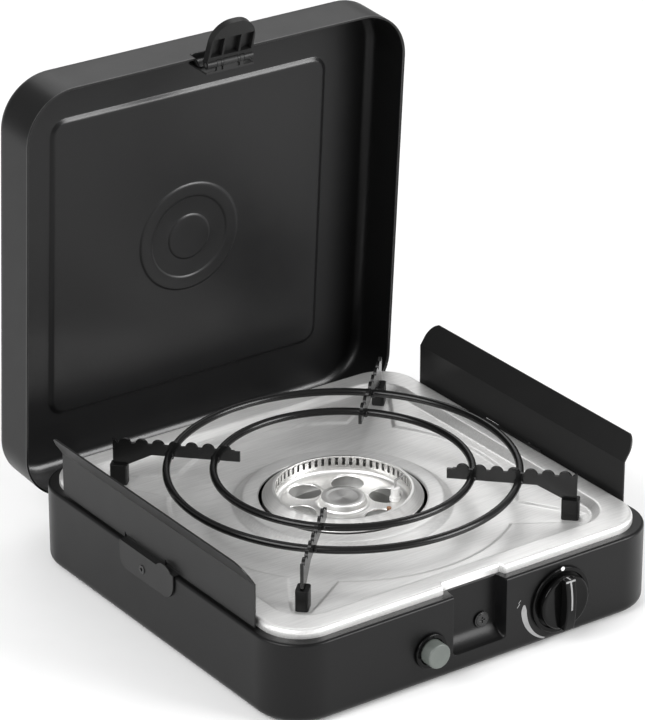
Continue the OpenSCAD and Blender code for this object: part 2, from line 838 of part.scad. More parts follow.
module lid_arm() {
    wall = half - lid_t;
    open_lid() difference() {
        union() {
            slab_x([hinge_x - arm_w / 2, hinge_x + arm_w / 2]) {
                translate([hinge_y, hinge_z]) circle(r = 5);
                polygon([[hinge_y, hinge_z - 5], [hinge_y + 8, hinge_z - 2.5], [wall, base_h - 11],
                    [wall, lid_z + 26], [wall - 3, lid_z + 26], [wall - 3, base_h - 5],
                    [hinge_y + 4, hinge_z + 4.6], [hinge_y, hinge_z + 5]]);
            }
            block([hinge_x - 9, hinge_x + 9], [wall - 1.5, wall], [lid_z + 4, lid_z + 26]);
        }
        along_x([hinge_x - 4, hinge_x + 4], hinge_y, hinge_z, hinge_pin_r + fit);
        for (x = [hinge_x - 5.5, hinge_x + 5.5])
            along_y(x, [wall - 3, wall + 1], lid_z + 15, wall_screw + eps);
    }
}

module lid_arm_right() { stove("#5a5a5a") lid_arm(); }

module lid_arm_left() { mirror([1, 0, 0]) stove("#5a5a5a") lid_arm(); }

module arm_rivets() {
    wall = half - lid_t - 1.5;
    stove("#9c9c9c") open_lid() both_sides() for (x = [hinge_x - 5.5, hinge_x + 5.5]) {
        along_y(x, [wall - 0.8, wall], lid_z + 15, 2.6);
        along_y(x, [wall - 0.8, half + 0.8], lid_z + 15, wall_screw);
        along_y(x, [half, half + 0.8], lid_z + 15, 2.6);
    }
}

// ---- latch ----

module latch_bracket() {
    back = -half + recess_depth + lid_t;
    wall = -half + lid_t;
    stove("#5a5a5a") open_lid() difference() {
        union() {
            block([-20, 20], [back, back + 1.5], [latch_z - 2.4, lid_z + 14]);
            block([-20, 20], [wall, back + 1.5], [lid_z + 12.5, lid_z + 14]);
            for (x = knuckles) {
                block(x, [latch_y, back + 1.5], [latch_z - 2.4, latch_z - 0.4]);
                along_x(x, latch_y, latch_z, barrel_r);
            }
        }
        along_x([-30, 30], latch_y, latch_z, latch_pin_r + eps);
    }
}

module latch_pin() {
    stove("#9c9c9c") open_lid()
        along_x([-latch_half, latch_half], latch_y, latch_z, latch_pin_r);
}

module latch_outline(side, tip, end) {
    r = 16.5;
    top = side - 0.9;
    polygon([[-side, end], [side, end], [top, tip + r], [-top, tip + r]]);
    translate([-top, tip + r]) square([2 * top, 0.01]);
    translate([-top + r, tip]) square([2 * (top - r), r + 0.01]);
    for (x = [-top + r, top - r]) translate([x, tip + r]) circle(r = r);
}

module latch() {
    skin = 1.4;
    front = latch_y - 4;
    back = latch_y + 1.1;
    tip = latch_z - latch_l;
    shoulder = latch_z - 6.5;
    side = latch_half - 2.2;
    pockets = [[-side, -rib_x - rib_t], [-rib_x, rib_x], [rib_x + rib_t, side]];
    stove("#262627") open_lid() translate([0, latch_y, latch_z]) rotate([-latch_angle, 0, 0])
        translate([0, -latch_y, -latch_z]) difference() {
            union() {
                slab_y([front, back]) latch_outline(latch_half, tip, latch_z);
                both_sides() for (x = [[rib_x, rib_x + rib_t], [knuckle_end + 0.2, latch_half]])
                    along_x(x, latch_y, latch_z, barrel_r);
            }
            along_x([-30, 30], latch_y, latch_z, latch_pin_r + fit);
            for (x = pockets) block(x, [front + skin, back + 1], [tip + 12, shoulder]);
            for (x = knuckles) block([x[0] - 0.2, x[1] + 0.2], [front - 1, back + 3],
                [latch_z - barrel_r - 0.6, latch_z + 5]);
        }
}

// ---- pan support ----

module wire_ring(r, more) {
    translate([0, 0, ring_z]) rotate_extrude() translate([r, 0]) circle(r = wire_d / 2 + more, $fn = 48);
}

module pan_ring_outer() { stove("#1d1d1e") wire_ring(outer_ring_r, 0); }

module pan_ring_inner() { stove("#1d1d1e") wire_ring(inner_ring_r, 0); }

module arm_outline() {
    bottom = base_h + 24;
    top = base_h + 35.5;
    dip = top - 3.5;
    bump_r = 4.8;
    polygon([[arm_in, bottom], [137, bottom], [foot_in - 0.5, foot_top],
        [foot_in + 1.5, foot_top], [foot_in + 1.5, base_h + 8],
        [arm_out - 1, base_h + 8], [arm_out - 1, foot_top], [arm_out, foot_top + 1],
        [arm_out, top], [161.5, dip], [arm_in + 4, dip], [arm_in + 4, top - 4.2],
        [arm_in, top - 4.2]]);
    for (i = [0:6]) translate([84.4 + 12 * i, top - bump_r]) circle(r = bump_r);
}

module pan_arm(n) {
    stove("#1d1d1e") rotate([0, 0, 45 + 90 * n]) difference() {
        translate([0, arm_t / 2, 0]) rotate([90, 0, 0]) linear_extrude(height = arm_t) arm_outline();
        wire_ring(outer_ring_r, 2 * eps);
        wire_ring(inner_ring_r, 2 * eps);
    }
}

module pan_arm_1() { pan_arm(0); }

module pan_arm_2() { pan_arm(1); }

module pan_arm_3() { pan_arm(2); }

module pan_arm_4() { pan_arm(3); }

module arm_feet() {
    wide = 4.6;
    soft = 2;
    stove("#161616") for (n = [0:3]) rotate([0, 0, 45 + 90 * n]) difference() {
        translate([(foot_in + foot_out) / 2, 0, field_z]) linear_extrude(height = foot_top - field_z)
            rounded_rect(foot_out - foot_in, 2 * wide, soft);
        block([foot_in + 1.5 - eps, arm_out - 1 + eps], [-arm_t / 2 - eps, arm_t / 2 + eps],
            [base_h + 8 - eps, foot_top + 1]);
    }
}

base_pan();
rubber_feet();
foot_screws();
hob_plate();
plate_clips();
burner_ring();
burner_slot_ring();
burner_floor();
burner_pot();
burner_bracket();
bracket_screws();
mixing_tube();
injector();
injector_bracket();
gas_pipe();
inlet_pipe();
gas_inlet();
inlet_nut();
valve_body();
valve_bracket();
magnet_unit();
valve_spring();
valve_push_rod();
valve_spindle();
knob();
knob_bezel();
thermocouple();
thermocouple_lead();
electrode_ceramic();
electrode_wire();
ignition_lead();
piezo_body();
piezo_spring();
piezo_button();
button_bezel();
recess_screw();
shield_bracket_left();
shield_bracket_right();
shield_rivets();
shield_pins();
windshield_left();
windshield_right();
hinge_brackets();
hinge_pins();
lid_shell();
lid_arm_left();
lid_arm_right();
arm_rivets();
latch_bracket();
latch_pin();
latch();
pan_ring_outer();
pan_ring_inner();
pan_arm_1();
pan_arm_2();
pan_arm_3();
pan_arm_4();
arm_feet();
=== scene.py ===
"""A camping stove: the looks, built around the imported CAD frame."""
import json
import math

import bmesh
import bpy
from mathutils import Matrix, Vector


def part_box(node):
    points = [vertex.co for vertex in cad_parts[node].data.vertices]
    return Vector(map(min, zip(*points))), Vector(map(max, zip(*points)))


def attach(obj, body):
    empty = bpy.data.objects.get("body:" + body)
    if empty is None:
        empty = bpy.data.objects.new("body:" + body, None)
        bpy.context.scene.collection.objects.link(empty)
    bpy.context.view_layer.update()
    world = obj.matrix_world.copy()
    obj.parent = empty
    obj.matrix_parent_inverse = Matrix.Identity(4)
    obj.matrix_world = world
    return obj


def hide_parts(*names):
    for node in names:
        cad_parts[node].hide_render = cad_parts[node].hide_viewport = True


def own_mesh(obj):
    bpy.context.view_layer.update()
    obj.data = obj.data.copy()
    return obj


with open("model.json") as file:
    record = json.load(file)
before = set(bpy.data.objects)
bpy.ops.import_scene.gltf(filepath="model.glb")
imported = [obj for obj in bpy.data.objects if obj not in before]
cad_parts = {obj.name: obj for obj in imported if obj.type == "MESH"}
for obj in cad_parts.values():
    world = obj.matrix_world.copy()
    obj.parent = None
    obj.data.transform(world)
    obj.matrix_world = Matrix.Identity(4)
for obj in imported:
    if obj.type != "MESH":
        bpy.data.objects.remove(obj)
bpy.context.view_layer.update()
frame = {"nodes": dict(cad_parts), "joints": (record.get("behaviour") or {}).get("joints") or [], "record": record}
nodes = frame["nodes"]
joints = {j["name"]: j for j in frame["joints"]}
MM = 0.001


# ---- places taken from the frame ----

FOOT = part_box("base_pan")[0].z                 # underside of the base above the ground
LID_AXIS = Vector(joints["lid_hinge"]["pos_m"])
LID_ANGLE = math.radians(-joints["lid_hinge"]["range_deg"][0])
KNOB_AXIS = Vector(joints["knob_turn"]["pos_m"])


def low_mm(name):
    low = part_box(name)[0]
    return low.x / MM, low.y / MM, (low.z - FOOT) / MM


def high_mm(name):
    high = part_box(name)[1]
    return high.x / MM, high.y / MM, (high.z - FOOT) / MM


# Lengths from here on are in millimetres, and heights are above the base's underside.
HALF = high_mm("base_pan")[0]
RIM = high_mm("base_pan")[2]
PLATE_HALF = high_mm("hob_plate")[0]
PLATE_RISE = 6.5                               # border of the hob plate above the rim
KNOB_X, KNOB_Z = KNOB_AXIS.x / MM, (KNOB_AXIS.z - FOOT) / MM
BUTTON_X, BUTTON_Z = -41.8, 25.6
LID_RIM, LID_TOP = RIM + 1.5, RIM + 42.5        # rim and top of the closed lid
FLOOR_Z = RIM - 3                              # burner floor
RING_Z = RIM + 25.3                            # centre line of the pan support's rings
INNER_RING, OUTER_RING = 91, 124               # their radii
BASE_CORNER, LID_CORNER, PLATE_CORNER = 34, 38, 30
BASE_SHEET, LID_SHEET, PLATE_SHEET, DISH_SHEET, BOWL_SHEET = 1.5, 1.2, 0.9, 1.2, 0.8


def place(x, y, z):
    return Vector((x * MM, y * MM, z * MM + FOOT))


def opened(point):
    """Where a point of the closed lid lies on the open lid."""
    return LID_AXIS + Matrix.Rotation(-LID_ANGLE, 3, "X") @ (point - LID_AXIS)


def rise(value, start, end):
    """0 before start, 1 after end, and smooth between."""
    t = min(1.0, max(0.0, (value - start) / (end - start)))
    return t * t * (3 - 2 * t)


def quarter(t):
    """A quarter of a circle: 0 at 0, 1 at 1, steep at first."""
    t = min(1.0, max(0.0, t))
    return math.sqrt(1 - (1 - t) ** 2)


def mix(a, b, t):
    return a + (b - a) * t


# ---- camera, light and floor ----

CAMERA_LENS, CAMERA_SENSOR = 193.65, 36
CAMERA_AIM = (-17.62, 0, 173.29)
CAMERA_TURN, CAMERA_LIFT = -35.189, 25.0       # degrees
CAMERA_REACH = 2.66919                         # metres
FLOOR_REACH = 12.0                             # metres
WORLD_STRENGTH = 0.45


def add_camera():
    data = bpy.data.cameras.new("camera")
    data.lens = CAMERA_LENS
    data.sensor_width = CAMERA_SENSOR
    data.sensor_height = CAMERA_SENSOR
    data.sensor_fit = "VERTICAL"
    data.clip_end = 50
    camera = bpy.data.objects.new("camera", data)
    bpy.context.scene.collection.objects.link(camera)
    target = Vector(CAMERA_AIM) * MM + Vector((0, 0, FOOT))
    turn, lift = math.radians(CAMERA_TURN), math.radians(CAMERA_LIFT)
    away = Vector((math.sin(turn) * math.cos(lift), -math.cos(turn) * math.cos(lift), math.sin(lift)))
    camera.location = target + CAMERA_REACH * away
    camera.rotation_euler = away.to_track_quat("Z", "Y").to_euler()
    bpy.context.scene.camera = camera


def add_area(name, spot, aim, width, height, power):
    """A softbox at spot that faces aim. Lengths are in metres and power is in watts."""
    data = bpy.data.lights.new(name, "AREA")
    data.energy = power
    data.shape = "RECTANGLE"
    data.size = width
    data.size_y = height
    light = bpy.data.objects.new(name, data)
    bpy.context.scene.collection.objects.link(light)
    light.location = spot
    light.rotation_euler = (Vector(spot) - Vector(aim)).to_track_quat("Z", "Y").to_euler()
    return light


def add_world():
    world = bpy.data.worlds.new("studio")
    bpy.context.scene.world = world
    world.use_nodes = True
    background = world.node_tree.nodes["Background"]
    background.inputs["Color"].default_value = (1, 1, 1, 1)
    background.inputs["Strength"].default_value = WORLD_STRENGTH
    bpy.context.scene.view_settings.view_transform = "Standard"


def add_lights():
    middle = (0, 0, 0.12)
    add_area("back_light", (0.7, 1.5, 1.8), middle, 1.8, 1.4, 14)
    add_area("front_light", (1.2, -1.55, 0.9), (0, 0, 0.15), 1.2, 1.1, 44)
    add_area("left_light", (-2.0, -0.4, 1.6), middle, 1.8, 1.6, 58)


def light_lid(*pieces):
    """One more softbox that only the lid catches, so its small radii show against the dark coat."""
    catchers = bpy.data.collections.new("lid_pieces")
    for piece in pieces:
        catchers.objects.link(piece)
    light = add_area("lid_light", (1.15, -1.0, 1.45), (0, 0.15, 0.15), 1.5, 1.3, 145)
    light.light_linking.receiver_collection = catchers


def add_floor():
    mesh = bpy.data.meshes.new("floor")
    signs = ((-1, -1), (1, -1), (1, 1), (-1, 1))
    mesh.from_pydata([(x * FLOOR_REACH, y * FLOOR_REACH, 0) for x, y in signs], [], [(0, 1, 2, 3)])
    floor = bpy.data.objects.new("floor", mesh)
    bpy.context.scene.collection.objects.link(floor)
    mesh.materials.append(plain_material("floor_white", (0.95, 0.95, 0.95), 0.9))


# ---- materials ----

def new_material(name):
    material = bpy.data.materials.new(name)
    material.use_nodes = True
    tree = material.node_tree
    shader = tree.nodes["Principled BSDF"]
    return material, tree, shader


def node(tree, kind, **values):
    made = tree.nodes.new(kind)
    for key, value in values.items():
        setattr(made, key, value)
    return made


def link(tree, a, out, b, into):
    tree.links.new(a.outputs[out], b.inputs[into])


def position(tree, scale=(1, 1, 1)):
    """Object coordinates in metres, scaled."""
    where = node(tree, "ShaderNodeTexCoord")
    mapping = node(tree, "ShaderNodeMapping")
    mapping.inputs["Scale"].default_value = scale
    link(tree, where, "Object", mapping, "Vector")
    return mapping


def noise(tree, vector, scale, detail=3.0, rough=0.5):
    made = node(tree, "ShaderNodeTexNoise")
    made.inputs["Scale"].default_value = scale
    made.inputs["Detail"].default_value = detail
    made.inputs["Roughness"].default_value = rough
    link(tree, vector, "Vector", made, "Vector")
    return made


def ramp(tree, source, out, low, high):
    """Two colours that blend over the middle of a noise's range."""
    made = node(tree, "ShaderNodeValToRGB")
    made.color_ramp.elements[0].position = 0.3
    made.color_ramp.elements[1].position = 0.7
    made.color_ramp.elements[0].color = (*low, 1)
    made.color_ramp.elements[1].color = (*high, 1)
    link(tree, source, out, made, "Fac")
    return made


def spread(tree, source, out, low, high):
    made = node(tree, "ShaderNodeMapRange")
    made.inputs["To Min"].default_value = low
    made.inputs["To Max"].default_value = high
    link(tree, source, out, made, "Value")
    return made


def bump(tree, source, out, shader, strength, distance):
    made = node(tree, "ShaderNodeBump")
    made.inputs["Strength"].default_value = strength
    made.inputs["Distance"].default_value = distance
    link(tree, source, out, made, "Height")
    link(tree, made, "Normal", shader, "Normal")
    return made


def scaled(colour, share):
    return tuple(c * share for c in colour)


def plain_material(name, colour, roughness):
    material, tree, shader = new_material(name)
    where = position(tree)
    grain = noise(tree, where, 40.0)
    tint = ramp(tree, grain, "Fac", scaled(colour, 0.99), colour)
    link(tree, tint, "Color", shader, "Base Color")
    shader.inputs["Roughness"].default_value = roughness
    return material


def coat_material(name, colour, roughness, grain_scale=1500.0, strength=0.3, ior=1.3):
    """Satin powder coat: fine orange peel, slight cloudiness and rubbed highlights."""
    material, tree, shader = new_material(name)
    where = position(tree)
    cloud = noise(tree, where, 9.0, 2.0)
    tint = ramp(tree, cloud, "Fac", scaled(colour, 0.93), scaled(colour, 1.07))
    link(tree, tint, "Color", shader, "Base Color")
    peel = noise(tree, where, grain_scale, 2.0, 0.6)
    rub = noise(tree, where, 60.0, 4.0)
    rough = spread(tree, rub, "Fac", roughness - 0.05, roughness + 0.05)
    link(tree, rough, "Result", shader, "Roughness")
    bump(tree, peel, "Fac", shader, strength, 0.00008)
    shader.inputs["IOR"].default_value = ior
    return material


def brushed_material(name, colour, roughness, along, strength, metallic):
    """Brushed sheet metal: long fine streaks that change colour, roughness and height a little."""
    material, tree, shader = new_material(name)
    where = position(tree, along)
    streak = noise(tree, where, 9.0, 6.0, 0.65)
    cloud = noise(tree, position(tree), 14.0, 3.0)
    tint = ramp(tree, streak, "Fac", scaled(colour, 0.86), scaled(colour, 1.04))
    link(tree, tint, "Color", shader, "Base Color")
    mixed = node(tree, "ShaderNodeMath", operation="ADD")
    fine = spread(tree, streak, "Fac", -0.06, 0.06)
    wide = spread(tree, cloud, "Fac", roughness - 0.03, roughness + 0.05)
    link(tree, fine, "Result", mixed, 0)
    link(tree, wide, "Result", mixed, 1)
    link(tree, mixed, "Value", shader, "Roughness")
    bump(tree, streak, "Fac", shader, strength, 0.00006)
    shader.inputs["Metallic"].default_value = metallic
    return material


def turned_material(name, colour, roughness):
    """Turned metal: fine circles round the vertical axis through the origin."""
    material, tree, shader = new_material(name)
    where = position(tree)
    split = node(tree, "ShaderNodeSeparateXYZ")
    link(tree, where, "Vector", split, "Vector")
    flat = node(tree, "ShaderNodeCombineXYZ")
    link(tree, split, "X", flat, "X")
    link(tree, split, "Y", flat, "Y")
    reach = node(tree, "ShaderNodeVectorMath", operation="LENGTH")
    link(tree, flat, "Vector", reach, 0)
    turned = node(tree, "ShaderNodeTexNoise", noise_dimensions="1D")
    turned.inputs["Scale"].default_value = 2400.0
    turned.inputs["Detail"].default_value = 3.0
    link(tree, reach, "Value", turned, "W")
    tint = ramp(tree, turned, "Fac", scaled(colour, 0.85), colour)
    link(tree, tint, "Color", shader, "Base Color")
    rough = spread(tree, turned, "Fac", roughness - 0.06, roughness + 0.08)
    link(tree, rough, "Result", shader, "Roughness")
    bump(tree, turned, "Fac", shader, 0.1, 0.00005)
    shader.inputs["Metallic"].default_value = 1.0
    shader.inputs["Anisotropic"].default_value = 0.6
    round_axis = node(tree, "ShaderNodeTangent", direction_type="RADIAL", axis="Z")
    link(tree, round_axis, "Tangent", shader, "Tangent")
    return material


def cast_material(name, colour, roughness):
    """Cast or drawn metal with a fine grain."""
    material, tree, shader = new_material(name)
    where = position(tree)
    grain = noise(tree, where, 900.0, 4.0, 0.6)
    cloud = noise(tree, where, 30.0, 3.0)
    tint = ramp(tree, cloud, "Fac", scaled(colour, 0.88), colour)
    link(tree, tint, "Color", shader, "Base Color")
    rough = spread(tree, cloud, "Fac", roughness - 0.06, roughness + 0.08)
    link(tree, rough, "Result", shader, "Roughness")
    bump(tree, grain, "Fac", shader, 0.25, 0.00006)
    shader.inputs["Metallic"].default_value = 1.0
    return material


def plastic_material(name, colour, roughness, strength=0.05, specular=0.5):
    """Moulded plastic or rubber."""
    material, tree, shader = new_material(name)
    where = position(tree)
    cloud = noise(tree, where, 120.0, 3.0)
    tint = ramp(tree, cloud, "Fac", scaled(colour, 0.9), scaled(colour, 1.08))
    link(tree, tint, "Color", shader, "Base Color")
    grain = noise(tree, where, 1500.0, 2.0)
    rough = spread(tree, cloud, "Fac", roughness - 0.04, roughness + 0.05)
    link(tree, rough, "Result", shader, "Roughness")
    bump(tree, grain, "Fac", shader, strength, 0.00005)
    shader.inputs["Specular IOR Level"].default_value = specular
    return material


def grey(level):
    return (level, level, level)


FINISHES = {
    "black_coat": (coat_material, (0.004, 0.004, 0.0041), dict(roughness=0.34, grain_scale=1000.0, strength=0.45)),
    "shield_coat": (coat_material, grey(0.012), dict(roughness=0.36, grain_scale=900.0, strength=0.4)),
    # hem_coat: a lighter, glossier copy of the black coat, a painted highlight for the bright line along the lid's
    # rim
    "hem_coat": (coat_material, grey(0.02), dict(roughness=0.3, grain_scale=1000.0, ior=1.7)),
    # bracket_coat: a lighter copy of the black coat for the windshield brackets, painted light that stands in for the
    # highlight their flaps catch
    "bracket_coat": (coat_material, grey(0.017), dict(roughness=0.36)),
    "lid_fittings": (coat_material, grey(0.016), dict(roughness=0.42)),
    "bare_steel": (cast_material, grey(0.50), dict(roughness=0.35)),
    "hob_steel": (brushed_material, (0.82, 0.817, 0.808),
                  dict(roughness=0.42, along=(4, 90, 90), strength=0.2, metallic=0.72)),
    "burner_metal": (turned_material, (0.88, 0.875, 0.86), dict(roughness=0.4)),
    "bowl_metal": (cast_material, (0.62, 0.62, 0.61), dict(roughness=0.5)),
    "brass": (cast_material, (0.72, 0.52, 0.24), dict(roughness=0.3)),
    "copper": (cast_material, (0.72, 0.38, 0.22), dict(roughness=0.32)),
    "knob_black": (plastic_material, grey(0.003), dict(roughness=0.12, strength=0.02, specular=0.14)),
    "button_grey": (plastic_material, (0.10, 0.112, 0.103), dict(roughness=0.38)),
    "print_grey": (plastic_material, grey(0.25), dict(roughness=0.5)),
    "print_white": (plastic_material, grey(0.80), dict(roughness=0.4)),
    "screw_black": (plastic_material, grey(0.008), dict(roughness=0.28, strength=0.03)),
    "ceramic": (plastic_material, (0.80, 0.795, 0.785), dict(roughness=0.25)),
    "silicone_lead": (plastic_material, (0.62, 0.60, 0.55), dict(roughness=0.5)),
    "enamel": (coat_material, grey(0.005), dict(roughness=0.22, grain_scale=1800.0, strength=0.2, ior=1.38)),
    "foot_black": (plastic_material, grey(0.003), dict(roughness=0.4, specular=0.2)),
    "latch_black": (coat_material, grey(0.009), dict(roughness=0.34)),
    "rubber": (plastic_material, grey(0.015), dict(roughness=0.7, strength=0.2)),
}
MATERIALS = {name: make(name, colour, **settings) for name, (make, colour, settings) in FINISHES.items()}


def paint_frame():
    for part in frame["record"]["subparts"]:
        thing = nodes[part["node"]]
        thing.data.materials.clear()
        thing.data.materials.append(MATERIALS[part["material_slot"]])


# ---- mesh helpers ----

def make_piece(name, mesh, body, slot, *stands_for, material=None):
    piece = bpy.data.objects.new(name, mesh)
    bpy.context.scene.collection.objects.link(piece)
    mesh.materials.clear()
    mesh.materials.append(MATERIALS[material or slot])
    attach(piece, body)
    if stands_for:
        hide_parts(*stands_for)
    return piece


def mesh_of(name, form, tidy=True):
    """Turns a bmesh into a mesh."""
    if tidy:
        bmesh.ops.recalc_face_normals(form, faces=form.faces)
    mesh = bpy.data.meshes.new(name)
    form.to_mesh(mesh)
    form.free()
    return mesh


def shade(mesh, angle):
    mesh.shade_smooth()
    mesh.set_sharp_from_angle(angle=math.radians(angle))


def apply_modifiers(piece, angle=35):
    bpy.context.view_layer.update()
    graph = bpy.context.evaluated_depsgraph_get()
    done = bpy.data.meshes.new_from_object(piece.evaluated_get(graph))
    piece.modifiers.clear()
    piece.data = done
    shade(done, angle)


def thicken(piece, thickness):
    solid = piece.modifiers.new("thickness", "SOLIDIFY")
    solid.thickness = thickness * MM
    solid.offset = -1
    solid.use_even_offset = True
    solid.use_quality_normals = True


def cut(piece, cutter):
    """Cuts the cutter's mesh out of the piece, and drops the cutter."""
    tool = bpy.data.objects.new("cutter", cutter)
    bpy.context.scene.collection.objects.link(tool)
    boolean = piece.modifiers.new("holes", "BOOLEAN")
    boolean.operation = "DIFFERENCE"
    boolean.solver = "EXACT"
    boolean.object = tool
    apply_modifiers(piece)
    bpy.data.objects.remove(tool)


def round_edges(piece, width, segments=3, angle=30):
    bevel = piece.modifiers.new("edges", "BEVEL")
    bevel.width = width * MM
    bevel.segments = segments
    bevel.limit_method = "ANGLE"
    bevel.angle_limit = math.radians(angle)
    bevel.harden_normals = True
    bevel.use_clamp_overlap = True
    shade(piece.data, angle)


def softened(node_name, width, slot=None, material=None):
    """A copy of a CAD node with its sharp edges rounded, which stands for the node."""
    record = next(s for s in frame["record"]["subparts"] if s["node"] == node_name)
    form = bmesh.new()
    form.from_mesh(nodes[node_name].data)
    bmesh.ops.remove_doubles(form, verts=form.verts, dist=0.002 * MM)
    bmesh.ops.dissolve_limit(form, angle_limit=math.radians(0.6), verts=form.verts, edges=form.edges)
    body = next(b for b, members in frame["record"]["behaviour"]["bodies"].items() if node_name in members)
    piece = make_piece(node_name + "_soft", mesh_of(node_name + "_soft", form), body,
                       slot or record["material_slot"], node_name, material=material)
    round_edges(piece, width)
    return piece


def ray_turns(near_axis, near_corner):
    """Directions round the middle, closer together near the axes and the diagonals."""
    eighth = sorted(set(near_axis + near_corner))
    turns = {(quarter_turn + side * a) % 360 for quarter_turn in (0, 90, 180, 270)
             for side in (-1, 1) for a in eighth}
    return [math.radians(t) for t in sorted(turns)]


def steps(start, end, step):
    return [round(start + i * step, 3) for i in range(int(round((end - start) / step)) + 1)]


WALL_TURNS = ray_turns([0, 1.5, 3, 4.5, 5.5] + steps(6.4, 10.2, 0.2) + steps(12, 33, 3), steps(34.5, 45, 0.75))
PLATE_TURNS = ray_turns([0, 2, 4, 6, 7.5] + steps(8.4, 10.8, 0.3) + steps(12, 33, 3),
                        steps(34.5, 37, 0.5) + steps(37, 43, 0.25) + [43.7, 44.4, 45])


def square_reach(turn, half, r):
    """Distance from the middle to a rounded square, in the direction of turn."""
    c, s = sorted((abs(math.cos(turn)), abs(math.sin(turn))), reverse=True)
    run = half - r
    if half / c * s <= run:
        return half / c
    return run * (c + s) + math.sqrt((run * (c + s)) ** 2 - 2 * run * run + r * r)


def square_row(turns, half, r, z):
    return [(square_reach(t, half, r) * math.cos(t), square_reach(t, half, r) * math.sin(t), z) for t in turns]


def circle_row(turns, r, z):
    return [(r * math.cos(t), r * math.sin(t), z) for t in turns]


def blended_row(a, b, t):
    return [tuple(mix(p, q, t) for p, q in zip(one, two)) for one, two in zip(a, b)]


def arc_steps(count):
    """Equal steps round a quarter circle, in radians."""
    return [math.radians(mix(0, 90, i / count)) for i in range(count + 1)]


def sheet_mesh(name, rows, put=place, first_closed=False, last_closed=False):
    """A sheet through rows of points round the middle. Its outside is on the right of the walk
    from the first row to the last, seen with the rows running anticlockwise."""
    form = bmesh.new()
    rings = [[form.verts.new(put(*p)) for p in row] for row in rows]
    count = len(rings[0])
    for one, two in zip(rings, rings[1:]):
        for i in range(count):
            j = (i + 1) % count
            form.faces.new((one[i], one[j], two[j], two[i]))
    ends = ((first_closed, rows[0], rings[0], True), (last_closed, rows[-1], rings[-1], False))
    for closed, row, ring, flip in ends:
        if closed:
            middle = form.verts.new(put(*(sum(p[k] for p in row) / count for k in range(3))))
            for i in range(count):
                j = (i + 1) % count
                form.faces.new((ring[j], ring[i], middle) if flip else (ring[i], ring[j], middle))
    return mesh_of(name, form, tidy=False)


def add_cylinder(form, start, end, radius):
    """A capped cylinder between two points in metres."""
    axis = end - start
    turn = axis.to_track_quat("Z", "Y").to_matrix().to_4x4()
    turn.translation = (start + end) / 2
    bmesh.ops.create_cone(form, cap_ends=True, segments=48, radius1=radius * MM,
                          radius2=radius * MM, depth=axis.length, matrix=turn)


def add_box(form, x, y, z):
    """A box between limits in millimetres."""
    low, high = place(x[0], y[0], z[0]), place(x[1], y[1], z[1])
    matrix = Matrix.Translation((low + high) / 2) @ Matrix.Diagonal((*(high - low), 1))
    bmesh.ops.create_cube(form, size=1, matrix=matrix)


def lathe_mesh(name, profile, count=128, closed=True):
    """Turns a profile of (radius, height) round the vertical axis, its last point in the middle."""
    turns = [2 * math.pi * i / count for i in range(count)]
    return sheet_mesh(name, [circle_row(turns, r, z) for r, z in profile], last_closed=closed)


def join_rings(form, rings):
    """Faces between closed rings of corners, and a flat face at each end."""
    count = len(rings[0])
    for one, two in zip(rings, rings[1:]):
        for i in range(count):
            j = (i + 1) % count
            form.faces.new((one[i], one[j], two[j], two[i]))
    form.faces.new(rings[0])
    form.faces.new(rings[-1])


def turned_mesh(name, profile, put, count):
    """A solid turned from (radius, place along the axis) points, where put(x, y, along) gives a point's place."""
    form = bmesh.new()
    turns = [2 * math.pi * i / count for i in range(count)]
    join_rings(form, [[form.verts.new(put(r * math.cos(t), r * math.sin(t), along)) for t in turns]
                      for r, along in profile])
    return mesh_of(name, form)


# ---- base ----

POCKET_SIDE, POCKET_LOW, POCKET_DEPTH = 21.5, 15.0, 10.5
SCOOP_HEIGHT, SCOOP_START = 13.0, 0.3          # the scoop begins this far round its quarter circle
POCKET_CORNER = 3.4
KNOB_HOLE, BUTTON_HOLE, INLET_HOLE, RIVET_HOLE = 9, 9.4, 5.05, 2.05
INLET_Y = 90
RIVET_Y, RIVET_DROP = 10.6, 10.4
HINGE_X = 90
VENT_X, VENT_ROWS = 99, (-30, -10, 10, 30)


def in_pocket(x, y, z):
    """Presses the latch pocket into the front wall, through the rim."""
    if y > -HALF + 16.5 or abs(x) > 26:
        return x, y, z
    inset = y + HALF
    target = POCKET_DEPTH + 0.5 * inset if inset < 2 else mix(POCKET_DEPTH + 1, 16, (inset - 2) / 14)
    t = (z - POCKET_LOW + 0.8) / SCOOP_HEIGHT
    corner = POCKET_CORNER * (1 - quarter(t / 0.27))
    side = 1 - rise(abs(x), POCKET_SIDE - 1.3 - corner, POCKET_SIDE + 1.1 - corner)
    start = quarter(SCOOP_START)
    scoop = (quarter(SCOOP_START + (1 - SCOOP_START) * max(t, 0.0)) - start) / (1 - start)
    return x, y + max(0.0, target - inset) * side * scoop * rise(t, 0, 0.1), z


def base_rows(turns):
    def square(half, z, r=None):
        return square_row(turns, half, BASE_CORNER - (HALF - half) if r is None else r, z)

    rows = [circle_row(turns, 6, 0), circle_row(turns, 50, 0)]
    rows += [square(120, 0, 24), square(150, 0, 24), square(153.6, 0)]
    rows += [square(154 + 6 * math.sin(a), 6 - 6 * math.cos(a)) for a in arc_steps(8)]
    heights = [6.5, 9, 12, 13, 13.7] + steps(14.1, 17.7, 0.4) + [18.4, 19.3, 20.4, 21.8, 23.4, 25.2, 27]
    heights += [32, 40, 48, 55, RIM - 2.4]
    rows += [square(HALF, z) for z in heights]
    rows += [square(HALF - 2 + 2 * math.cos(a), RIM - 2 + 2 * math.sin(a)) for a in arc_steps(6)]
    rows += [square(HALF - inset, RIM) for inset in (2.5, 5, 9, 13, 16)]
    return [[in_pocket(*p) for p in row] for row in rows]


